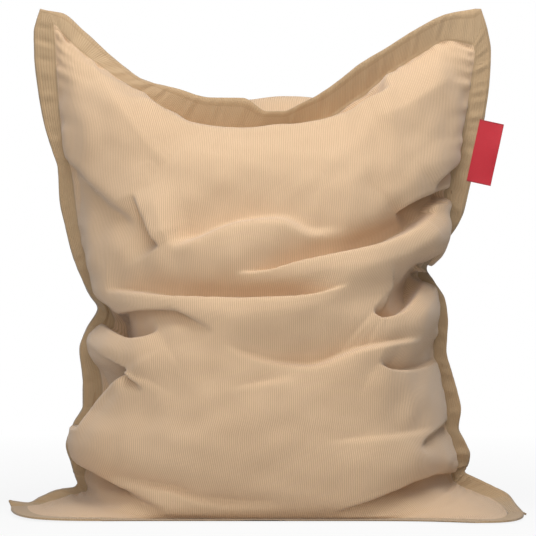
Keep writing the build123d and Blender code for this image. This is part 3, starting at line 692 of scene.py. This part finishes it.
# the whole sheet of one panel, with the flange all round it, and its flat pattern's measures as UV
def panelGrid(side):
    grid, v, even = layPanel(panelForms[side]), panelForms[side]["v"], panelForms[side]["even"]
    n = bagForm["flangeFaces"]
    rows, columns = grid.shape[0] + 2 * n, grid.shape[1] + 2 * n
    sheet = np.zeros((rows, columns, 3))
    sheet[n:-n, n:-n] = grid
    leftEdge, rightEdge = flow(bagForm["leftEdge"], v), flow(bagForm["rightEdge"], v)
    topEdge = flow(bagForm["topEdge"], even)
    sway, crinkle = waves(51, *clothShape["sway"]), waves(57, *clothShape["crinkle"])
    swaySide, crinkleHigh = clothShape["swaySide"], clothShape["crinkleHigh"]
    upright = smoothStep(v, 0.2, 0.3)
    leftEdge[:, 1] += swaySide * sway(v * fullHigh, 0 * v) * upright
    rightEdge[:, 1] += swaySide * sway(v * fullHigh, 0 * v + 500) * upright
    topEdge[:, 1] += clothShape["swayTop"] * sway(even * halfWide, 0 * even + 900)
    # the bottom flange lies on the floor, outside its seam
    run = np.gradient(grid[0][:, :2], axis=0)
    run /= np.linalg.norm(run, axis=1, keepdims=True)
    bottomEdge = grid[0].copy()
    bottomEdge[:, 0] += bagForm["flange"] * run[:, 1]
    bottomEdge[:, 1] -= bagForm["flange"] * run[:, 0]
    leftSide = (n, -1, grid[:, 0], leftEdge, 0)
    rightSide = (columns - 1 - n, 1, grid[:, -1], rightEdge, 300)
    for k in range(1, n + 1):
        share = k / n
        bow = math.sin(math.pi * share) * crinkleHigh
        for start, way, seam, edge, at in (leftSide, rightSide):
            line = seam + (edge - seam) * share
            line[:, 1] += bow * crinkle(v * fullHigh, 0 * v + at)
            sheet[n:-n, start + way * k] = line
        line = grid[-1] + (topEdge - grid[-1]) * share
        line[:, 1] += bow * crinkle(even * halfWide, 0 * even + 700)
        sheet[rows - 1 - n + k, n:-n] = line
        sheet[n - k, n:-n] = grid[0] + (bottomEdge - grid[0]) * share
    # square corners of the flange
    places = (
        ("topLeft", rows - 1 - n, n, 1, -1, leftEdge[-1], topEdge[0]),
        ("topRight", rows - 1 - n, columns - 1 - n, 1, 1, rightEdge[-1], topEdge[-1]),
        ("footLeft", n, n, -1, -1, leftEdge[0], bottomEdge[0]),
        ("footRight", n, columns - 1 - n, -1, 1, rightEdge[0], bottomEdge[-1]),
    )
    for name, row, column, down, along, sideEnd, otherEnd in places:
        seam = sheet[row, column]
        tip = np.array(bagForm["corners"][name], float)
        for p in range(1, n + 1):
            for q in range(1, n + 1):
                s, t = p / n, q / n
                sheet[row + down * p, column + along * q] = (
                    (1 - s) * (1 - t) * seam + s * (1 - t) * otherEnd + (1 - s) * t * sideEnd + s * t * tip)
    # the two layers lie on each other outside the seam
    beyond = np.ones((rows, columns), bool)
    beyond[n + 1:-n - 1, n + 1:-n - 1] = False
    sheet[..., 1] += np.where(beyond, side * bagForm["cloth"], 0)
    sheet[:n, :, 1] -= side * bagForm["cloth"]
    sheet[..., 2] = np.maximum(sheet[..., 2], bagForm["lowest"])
    # on the floor the front's layer of the flange lies on the back's
    backLayer, frontLayer = bagForm["layers"]
    foot = sheet[:n, n:-n, 2]
    sheet[:n, n:-n, 2] = np.where(foot > bagForm["lifted"], foot, frontLayer if side < 0 else backLayer)
    flangeU = np.linspace(0, bagForm["flange"], n + 1)[1:]
    patternU = np.concatenate([-halfWide - flangeU[::-1], even * halfWide, halfWide + flangeU])
    patternV = np.concatenate([-flangeU[::-1], v * fullHigh, fullHigh + flangeU])
    return sheet, patternU, patternV


# a flat grid of the right number of faces, whose points are then moved to where the cloth lies
def layCloth(name, sheet, patternU, patternV, side):
    rows, columns = sheet.shape[:2]
    deselectAll()
    bpy.ops.mesh.primitive_grid_add(x_subdivisions=columns - 1, y_subdivisions=rows - 1, size=1)
    piece = bpy.context.object
    piece.name = piece.data.name = name
    mesh = piece.data
    mesh.vertices.foreach_set("co", (sheet * mm).reshape(-1))
    uv = mesh.uv_layers[0]
    uv.name = "pattern"
    uu, vv = np.meshgrid(patternU * mm, patternV * mm)
    flat = np.stack([uu.reshape(-1), vv.reshape(-1)], 1)
    loops = np.zeros(len(mesh.loops), np.int32)
    mesh.loops.foreach_get("vertex_index", loops)
    uv.data.foreach_set("uv", flat[loops].astype(np.float32).reshape(-1))
    if side > 0:
        bpy.ops.object.mode_set(mode="EDIT")
        bpy.ops.mesh.select_all(action="SELECT")
        bpy.ops.mesh.flip_normals()
        bpy.ops.object.mode_set(mode="OBJECT")
    bpy.ops.object.shade_smooth()
    return piece


def applyModifiers(piece):
    pick(piece)
    for modifier in list(piece.modifiers):
        bpy.ops.object.modifier_apply(modifier=modifier.name)


def thicken(piece, thickness):
    wall = piece.modifiers.new("cloth", "SOLIDIFY")
    wall.thickness = thickness
    wall.offset = -1
    wall.use_even_offset = False
    applyModifiers(piece)


coverFront = layCloth("coverFront", *panelGrid(-1), -1)
coverBack = layCloth("coverBack", *panelGrid(1), 1)
for piece in (coverFront, coverBack):
    thicken(piece, bagForm["cloth"] * mm)
print("cover: two panels sewn with their flange")


liningForm = {
    "inset": 12.0,         # inside the cover, in millimetres
    "beadInset": 19.0,
    "thickness": 0.8,
    "across": 110,         # faces, fewer than on the cover
    "up": 150,
    "keepWidth": 0.965,    # share of the cover's width and height
    "keepHeight": 0.975,
    "corner": 0.10,        # how far the corners are rounded off
    "lowCorner": 0.22,     # the lining stays out of the cover's bottom corners
    "frontFoot": 0.205,    # how far up the cover's front panel it begins
    "backFoot": (0.02, 0.15),      # and up the back one, at the middle and at the sides
    "footPower": 6,
    "footRows": (0, 0.4),
    "lowRows": (0.02, 0.19),
    "cornerAcross": (0.55, 1.0),   # where the corners are rounded
    "cornerUp": (0.62, 1.0),
    "cornerRows": (0.4, 0.6),
}


# a panel's points read off between its rows and columns
def readGrid(grid, uu, vv):
    row, column = vv * (grid.shape[0] - 1), (uu + 1) / 2 * (grid.shape[1] - 1)
    r = np.clip(row.astype(int), 0, grid.shape[0] - 2)
    c = np.clip(column.astype(int), 0, grid.shape[1] - 2)
    s, t = (row - r)[..., None], (column - c)[..., None]
    low = grid[r, c] * (1 - t) + grid[r, c + 1] * t
    high = grid[r + 1, c] * (1 - t) + grid[r + 1, c + 1] * t
    return low * (1 - s) + high * s


# front and back of a bag inside the cover, with rounded corners and one seam
def innerGrids(inset):
    even = np.linspace(-1, 1, liningForm["across"] + 1)
    v = np.linspace(0, 1, liningForm["up"] + 1)
    vv, uu = np.meshgrid(v, even, indexing="ij")
    corner = smoothStep(np.abs(uu), *liningForm["cornerAcross"])
    corner *= smoothStep(np.abs(2 * vv - 1), *liningForm["cornerUp"])
    corner *= smoothStep(vv, *liningForm["cornerRows"])
    foot, (footMiddle, footSide) = liningForm["frontFoot"], liningForm["backFoot"]
    top = 0.5 + 0.5 * (liningForm["keepHeight"] - 0.5 * liningForm["corner"] * corner)
    frontV = foot + (top - foot) * vv
    backFoot = footMiddle + (footSide - footMiddle) * np.abs(uu) ** liningForm["footPower"]
    backV = frontV - (foot - backFoot) * (1 - smoothStep(vv, *liningForm["footRows"]))
    low = 1 - smoothStep(backV, *liningForm["lowRows"])
    frontU = uu * (liningForm["keepWidth"] - liningForm["corner"] * corner)
    backU = frontU - uu * liningForm["lowCorner"] * low
    front = readGrid(layPanel(panelForms[-1], inset), frontU, frontV)
    back = readGrid(layPanel(panelForms[1], inset), backU, backV)
    for line in ((0, slice(None)), (-1, slice(None)), (slice(None), 0), (slice(None), -1)):
        middle = (front[line] + back[line]) / 2
        front[line] = middle
        back[line] = middle
    return front, back, v, even


def mergeDoubles(piece, distance=0.00001):
    pick(piece)
    bpy.ops.object.mode_set(mode="EDIT")
    bpy.ops.mesh.select_all(action="SELECT")
    bpy.ops.mesh.remove_doubles(threshold=distance)
    bpy.ops.object.mode_set(mode="OBJECT")


# front and back cloth of an inner bag
def innerCloths(inset, frontName, backName):
    front, back, v, even = innerGrids(inset)
    patternU, patternV = even * halfWide, v * fullHigh
    return layCloth(frontName, front, patternU, patternV, -1), layCloth(backName, back, patternU, patternV, 1)


liningFront, liningBack = innerCloths(liningForm["inset"], "liningFront", "liningBack")
for piece in (liningFront, liningBack):
    thicken(piece, liningForm["thickness"] * mm)
beadFront, beadBack = innerCloths(liningForm["beadInset"], "beadFill", "beadBack")
pick(beadFront)
beadBack.select_set(True)
bpy.ops.object.join()
beadFill = beadFront
mergeDoubles(beadFill)
print("lining and beads: inside the cover")


slots = {
    "depth": 12.0,
    "coverBack": {"half": 8.4, "reach": 239.9, "height": 196.0, "plane": 305.0},
    "liningBack": {"half": 8.4, "reach": 159.9, "height": 290.0, "plane": 295.0},
}


# a round-ended slot through one panel, cut by a bar with rounded ends
def cutSlot(piece, size):
    deselectAll()
    radius = size["half"] * mm
    bpy.ops.mesh.primitive_cylinder_add(
        vertices=32, radius=radius, depth=slots["depth"] * mm,
        location=(0, size["plane"] * mm, size["height"] * mm), rotation=(math.radians(90), 0, 0),
    )
    bar = bpy.context.object
    bpy.ops.object.transform_apply(location=True, rotation=True, scale=True)
    shift = size["reach"] * mm - radius
    # the two halves of the round bar are pulled apart
    bpy.ops.object.mode_set(mode="EDIT")
    bpy.ops.mesh.select_all(action="SELECT")
    bpy.ops.mesh.bisect(plane_co=(0, 0, 0), plane_no=(1, 0, 0))
    bpy.ops.object.mode_set(mode="OBJECT")
    for point in bar.data.vertices:
        if abs(point.co.x) < 1e-6:
            continue
        point.co.x += shift if point.co.x > 0 else -shift
    cut = piece.modifiers.new("zipSlot", "BOOLEAN")
    cut.operation = "DIFFERENCE"
    cut.solver = "EXACT"
    cut.object = bar
    applyModifiers(piece)
    bpy.data.objects.remove(bar)


cutSlot(coverBack, slots["coverBack"])
cutSlot(liningBack, slots["liningBack"])
print("slots: cut for both zips")


labelForm = {
    "length": 138.0, "reach": 54.0, "ribbon": 0.7, "slit": 0.3,
    "lower": 9.0,                        # how far down its hinge line it is sewn in
    "axis": (454.624, 0.0, 797.757),     # the line it flaps about
    "along": (0.211325, 0.0, 0.977416),
    "curl": 2.2,                         # how far the free fold waves, and how
    "wave": (2.1 * math.pi, 0.6),
    "bend": (2.0, 15.0),                 # from the root, where it bends as it flaps
    "facesAlong": 46,
    "facesAcross": 14,                   # in each layer
    "facesRound": 8,                     # round the fold
}


# a ribbon folded double at its free end, with its two cut ends together at the flange
def makeLabel():
    along = np.array(labelForm["along"])
    away, out = np.array((along[2], 0, -along[0])), np.array((0, 1.0, 0))
    half = (labelForm["ribbon"] + labelForm["slit"]) / 2      # from the label's middle to one layer's middle
    straight = labelForm["reach"] - half - labelForm["ribbon"] / 2
    steps, turn = labelForm["facesAcross"], labelForm["facesRound"]
    path = [(s, -half) for s in np.linspace(0, straight, steps + 1)]
    angles = np.linspace(-0.5, 0.5, turn + 1)[1:-1] * math.pi
    path += [(straight + half * math.cos(a), half * math.sin(a)) for a in angles]
    path += [(s, half) for s in np.linspace(straight, 0, steps + 1)]
    walked = runAlong(np.array(path))
    rows = labelForm["facesAlong"]
    sheet = np.zeros((rows + 1, len(path), 3))
    patternV = (np.arange(rows + 1) / rows - 0.5) * labelForm["length"]
    turns, start = labelForm["wave"]
    for k, place in enumerate(patternV):
        root = np.array(labelForm["axis"]) + along * (place - labelForm["lower"])
        wave = labelForm["curl"] * math.sin(turns * k / rows + start)
        for i, (reach, layer) in enumerate(path):
            curl = wave * (reach / labelForm["reach"]) ** 2
            sheet[k, i] = root + away * reach + out * (layer + curl)
    piece = layCloth("label", sheet, walked, patternV, -1)
    wall = piece.modifiers.new("ribbon", "SOLIDIFY")
    wall.thickness = labelForm["ribbon"] * mm
    wall.offset = 0
    applyModifiers(piece)
    bpy.ops.object.shade_smooth_by_angle(angle=math.radians(40))
    return piece


label = makeLabel()
print("label: folded and set on its hinge")


corduroy = {
    "rib": 0.0047,               # from one rib to the next
    "pile": (0.690, 0.482, 0.306),
    # the groove colour is the ground weave darkened with painted shade in the recess
    "shadedGroove": (0.420, 0.275, 0.150),
    "worn": (0.760, 0.552, 0.366),
    "thread": (0.46, 0.315, 0.180),
    # the flange colours: pressed pile, darkened further with painted shade; the top flange's colour stands
    # partly for the shade in the trough behind the roll
    "flange": (0.445, 0.315, 0.186),
    "shadedTopFlange": (0.530, 0.378, 0.228),
    "lip": 0.0275,               # the flange's edge is stitched down beyond this line
    "lipDark": 0.45,
    "stitches": ((0.0275, 0.0010), (0.0015, 0.0007)),      # rows beyond the seam: place and half width
    "sheen": 0.35,
    "ribRound": 0.6,             # below 1 the ribs are broad and the grooves narrow
    "ribShare": (0.62, 0.38),    # how much of the pile's colour shows from groove to rib; the darker groove is partly painted shade
    "pileGrain": 900,
    "patchGrain": 5.5,
    "wear": (0.9, -0.2),
    "pileHeight": 0.35,          # against a rib's height
    "stitchDepth": 1.2,
    "bump": (0.55, 0.0011),      # strength, and height in metres
}


def corduroyLook():
    look, ns, ls, shade = newLook("corduroy", corduroy["pile"], 0.93)
    shade.inputs["Specular IOR Level"].default_value = 0.12
    shade.inputs["Sheen Weight"].default_value = corduroy["sheen"]
    shade.inputs["Sheen Roughness"].default_value = 0.5
    u, v = patternParts(ns, ls)
    # ribs run up the panel
    rib = mathNode(ns, ls, "MULTIPLY_ADD", ripple(ns, ls, u, corduroy["rib"]), 0.5, 0.5)
    ribHigh = mathNode(ns, ls, "POWER", rib, corduroy["ribRound"])
    pile = noiseNode(ns, ls, corduroy["pileGrain"], 3)
    patches = noiseNode(ns, ls, corduroy["patchGrain"], 4)
    napShare = mathNode(ns, ls, "MULTIPLY_ADD", patches, *corduroy["wear"])
    pileColour = mixColour(ns, ls, napShare, corduroy["pile"], corduroy["worn"])
    # the flange's pile is pressed flat and looks darker, and it is painted darker still as painted shade: its
    # upright faces and the top flange in the trough behind the roll
    across = mathNode(ns, ls, "ABSOLUTE", u)
    topAcross = mathNode(ns, ls, "SUBTRACT", v, fullHigh * mm)
    overSide = mathNode(ns, ls, "SUBTRACT", across, halfWide * mm)
    overEnd = mathNode(ns, ls, "MAXIMUM", topAcross, mathNode(ns, ls, "MULTIPLY", v, -1.0))
    beyond = mathNode(ns, ls, "MAXIMUM", overSide, overEnd)
    onFlange = mathNode(ns, ls, "GREATER_THAN", beyond, 0.0)
    pileColour = mixColour(ns, ls, onFlange, pileColour, corduroy["flange"])
    onTop = mathNode(ns, ls, "GREATER_THAN", topAcross, 0.0)
    pileColour = mixColour(ns, ls, onTop, pileColour, corduroy["shadedTopFlange"])
    onLip = mathNode(ns, ls, "GREATER_THAN", beyond, corduroy["lip"])
    lipShare = mathNode(ns, ls, "MULTIPLY", onLip, corduroy["lipDark"])
    pileColour = mixColour(ns, ls, lipShare, pileColour, corduroy["thread"])
    # painted shade in the grooves: the colour darkens from rib to groove, partly the ground weave showing
    ribShare = mathNode(ns, ls, "MULTIPLY_ADD", ribHigh, *corduroy["ribShare"])
    colour = mixColour(ns, ls, ribShare, corduroy["shadedGroove"], pileColour)
    # rows of stitches along the seam and near the flange's edge
    rows = []
    for measure in (overSide, topAcross):
        for place, half in corduroy["stitches"]:
            offset = mathNode(ns, ls, "ABSOLUTE", mathNode(ns, ls, "SUBTRACT", measure, place))
            rows.append(mathNode(ns, ls, "LESS_THAN", offset, half))
    stitch = rows[0]
    for row in rows[1:]:
        stitch = mathNode(ns, ls, "MAXIMUM", stitch, row)
    colour = mixColour(ns, ls, stitch, colour, corduroy["thread"])
    ls.new(colour, shade.inputs["Base Color"])
    height = mathNode(ns, ls, "MULTIPLY_ADD", pile, corduroy["pileHeight"], ribHigh)
    stitchDepth = mathNode(ns, ls, "MULTIPLY", stitch, corduroy["stitchDepth"])
    height = mathNode(ns, ls, "SUBTRACT", height, stitchDepth)
    roughen(ns, ls, shade, height, *corduroy["bump"])
    return look


def dress(piece, look):
    piece.data.materials.clear()
    piece.data.materials.append(look)


liningLooks = {
    "cloth": (0.78, 0.76, 0.71),
    "weave": 0.0006,
    "bead": (0.90, 0.90, 0.89),
    "beadSize": 0.0038,
    "bump": (0.3, 0.0002),
    "beadBump": (0.8, 0.0015),
}


def liningLook():
    look, ns, ls, shade = newLook("lining", liningLooks["cloth"], 0.62)
    shade.inputs["Sheen Weight"].default_value = 0.15
    u, v = patternParts(ns, ls)
    pitch = liningLooks["weave"]
    weave = mathNode(ns, ls, "MULTIPLY", ripple(ns, ls, u, pitch), ripple(ns, ls, v, pitch))
    share = mathNode(ns, ls, "MULTIPLY_ADD", weave, 0.3, 0.5)
    colour = mixColour(ns, ls, share, darker(liningLooks["cloth"], 0.86), liningLooks["cloth"])
    ls.new(colour, shade.inputs["Base Color"])
    roughen(ns, ls, shade, weave, *liningLooks["bump"])
    return look


def beadLook():
    look, ns, ls, shade = newLook("beads", liningLooks["bead"], 0.55)
    shade.inputs["Subsurface Weight"].default_value = 0.1
    shade.inputs["Subsurface Scale"].default_value = 0.003
    coords = ns.new("ShaderNodeTexCoord")
    cells = ns.new("ShaderNodeTexVoronoi")
    cells.inputs["Scale"].default_value = 1 / liningLooks["beadSize"]
    ls.new(coords.outputs["Object"], cells.inputs["Vector"])
    # painted shade between the beads: the colour darkens away from each bead's centre towards where beads
    # meet
    nearCentre = mathNode(ns, ls, "SUBTRACT", 1.0, cells.outputs["Distance"])
    colour = mixColour(ns, ls, nearCentre, darker(liningLooks["bead"], 0.55), liningLooks["bead"])
    ls.new(colour, shade.inputs["Base Color"])
    roughen(ns, ls, shade, nearCentre, *liningLooks["beadBump"])
    return look


labelLooks = {
    "red": (0.58, 0.006, 0.024),
    "deep": (0.40, 0.003, 0.012),
    "thread": (0.34, 0.004, 0.012),
    "weave": 0.0008,
    "selvedge": 0.0665,          # from the ribbon's middle to its woven edge
    "bump": (0.35, 0.0003),
}


def labelLook():
    look, ns, ls, shade = newLook("labelRibbon", labelLooks["red"], 0.48)
    shade.inputs["Sheen Weight"].default_value = 0.2
    shade.inputs["Anisotropic"].default_value = 0.4
    u, v = patternParts(ns, ls)
    share = mathNode(ns, ls, "MULTIPLY_ADD", ripple(ns, ls, u, labelLooks["weave"]), 0.5, 0.5)
    colour = mixColour(ns, ls, share, labelLooks["deep"], labelLooks["red"])
    # woven selvedges along both edges of the ribbon
    edge = mathNode(ns, ls, "GREATER_THAN", mathNode(ns, ls, "ABSOLUTE", v), labelLooks["selvedge"])
    colour = mixColour(ns, ls, edge, colour, labelLooks["thread"])
    ls.new(colour, shade.inputs["Base Color"])
    height = mathNode(ns, ls, "ADD", share, mathNode(ns, ls, "MULTIPLY", edge, 0.8))
    roughen(ns, ls, shade, height, *labelLooks["bump"])
    return look


zipLooks = {
    "coverTape": (0.50, 0.36, 0.235), "coverTeeth": (0.44, 0.30, 0.18),
    "liningTape": (0.70, 0.68, 0.63), "liningTeeth": (0.78, 0.77, 0.74),
    "metal": (0.62, 0.60, 0.56),
    "weave": 0.0011,
    "tapeBump": (0.5, 0.0003),
    "teethBump": (0.15, 0.0002),
}


def tapeLook(name, colour):
    look, ns, ls, shade = newLook(name, colour, 0.8)
    coords = ns.new("ShaderNodeTexCoord")
    parts = ns.new("ShaderNodeSeparateXYZ")
    ls.new(coords.outputs["Object"], parts.inputs[0])
    x, z = parts.outputs[0], parts.outputs[2]
    slant = ripple(ns, ls, mathNode(ns, ls, "ADD", x, z), zipLooks["weave"])
    cross = ripple(ns, ls, mathNode(ns, ls, "SUBTRACT", x, z), zipLooks["weave"])
    weave = mathNode(ns, ls, "MAXIMUM", slant, cross)
    share = mathNode(ns, ls, "MULTIPLY_ADD", weave, 0.4, 0.5)
    ls.new(mixColour(ns, ls, share, darker(colour, 0.72), colour), shade.inputs["Base Color"])
    roughen(ns, ls, shade, weave, *zipLooks["tapeBump"])
    return look


def teethLook(name, colour):
    look, ns, ls, shade = newLook(name, colour, 0.38)
    cloud = noiseNode(ns, ls, 420)
    ls.new(mixColour(ns, ls, cloud, darker(colour, 0.85), colour), shade.inputs["Base Color"])
    roughen(ns, ls, shade, cloud, *zipLooks["teethBump"])
    return look


def metalLook():
    look, ns, ls, shade = newLook("zipMetal", zipLooks["metal"], 0.28)
    shade.inputs["Metallic"].default_value = 1.0
    scratch = noiseNode(ns, ls, 260, 6)
    ls.new(mathNode(ns, ls, "MULTIPLY_ADD", scratch, 0.3, 0.15), shade.inputs["Roughness"])
    colour = mixColour(ns, ls, scratch, darker(zipLooks["metal"], 0.75), zipLooks["metal"])
    ls.new(colour, shade.inputs["Base Color"])
    return look


liningCloth, beads, ribbon = liningLook(), beadLook(), labelLook()
coverTape = tapeLook("coverZipTape", zipLooks["coverTape"])
coverTeeth = teethLook("coverZipTeeth", zipLooks["coverTeeth"])
liningTape = tapeLook("liningZipTape", zipLooks["liningTape"])
liningTeeth = teethLook("liningZipTeeth", zipLooks["liningTeeth"])
metal = metalLook()
for name, node in nodes.items():
    if "_zip_" not in name:
        continue
    inLining = name.startswith("liner")
    if "tape" in name:
        look = liningTape if inLining else coverTape
    elif "teeth" in name:
        look = liningTeeth if inLining else coverTeeth
    else:
        look = metal
    for place in node.material_slots:
        place.material = look

for piece, node, look, slot in (
    (liningFront, "liner_front_panel", liningCloth, "lining"),
    (liningBack, "liner_back_panel", liningCloth, "lining"),
    (beadFill, "bead_fill", beads, "beads"),
):
    dress(piece, look)
    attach(piece, "bag")
    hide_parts(node)
dress(label, ribbon)
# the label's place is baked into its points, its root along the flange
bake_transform(label)
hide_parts("label_tag")

corduroyCloth = corduroyLook()
for piece, node in ((coverFront, "cover_front_panel"), (coverBack, "cover_back_panel")):
    dress(piece, corduroyCloth)
    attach(piece, "bag")
    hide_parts(node)
print("corduroy: laid on the cover")
